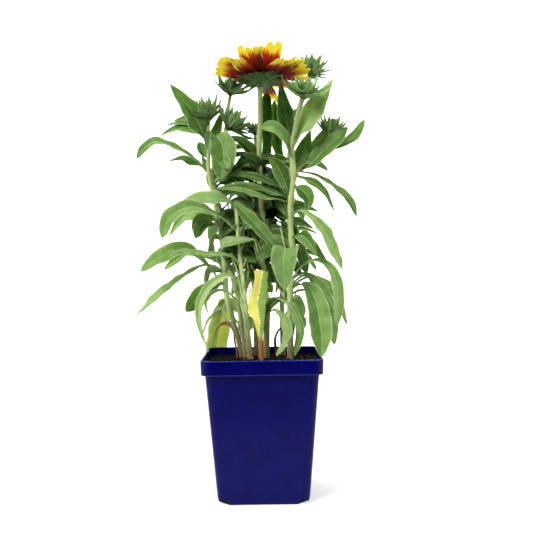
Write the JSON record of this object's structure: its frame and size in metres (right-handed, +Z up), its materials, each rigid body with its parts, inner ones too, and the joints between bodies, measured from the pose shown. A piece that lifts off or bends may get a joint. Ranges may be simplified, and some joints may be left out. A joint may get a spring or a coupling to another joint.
{
  "type": "potted blanket flower plant",
  "caption": "Blanket flower plant with one open daisy-like head, green buds and long hairy leaves on upright stems, growing in a square tapered nursery pot filled with peat.",
  "frame": {"origin": "middle of the pot's underside, on the plane it stands on", "axes": "+Z up, along the stems; +X towards the plant's right and -Y towards its front, both square to the pot's walls"},
  "size_m": [0.2328, 0.1318, 0.4489],
  "materials": {
    "pot": "satin deep blue moulded plastic",
    "soil": "rough black peat",
    "leafy_stem": "soft, finely hairy green",
    "yellow_leaf": "soft yellowed leaf",
    "dried_leaf": "dry and crinkled",
    "petal": "velvety, red at the foot and yellow at the tips",
    "disc": "bristly, dark red-brown"
  },
  "bodies": {
    "root": {"pot": "pot", "soil": "soil", "left_stem": "leafy_stem", "inner_stem": "leafy_stem", "flower_stem": "leafy_stem", "right_stem": "leafy_stem", "young_shoot": "leafy_stem", "back_stem": "leafy_stem", "middle_stem": "leafy_stem", "back_shoot": "leafy_stem", "yellow_leaf": "yellow_leaf", "dried_leaf": "dried_leaf", "dried_stalk": "dried_leaf", "flower_rays": "petal", "flower_disc": "disc"}
  },
  "joints": []
}
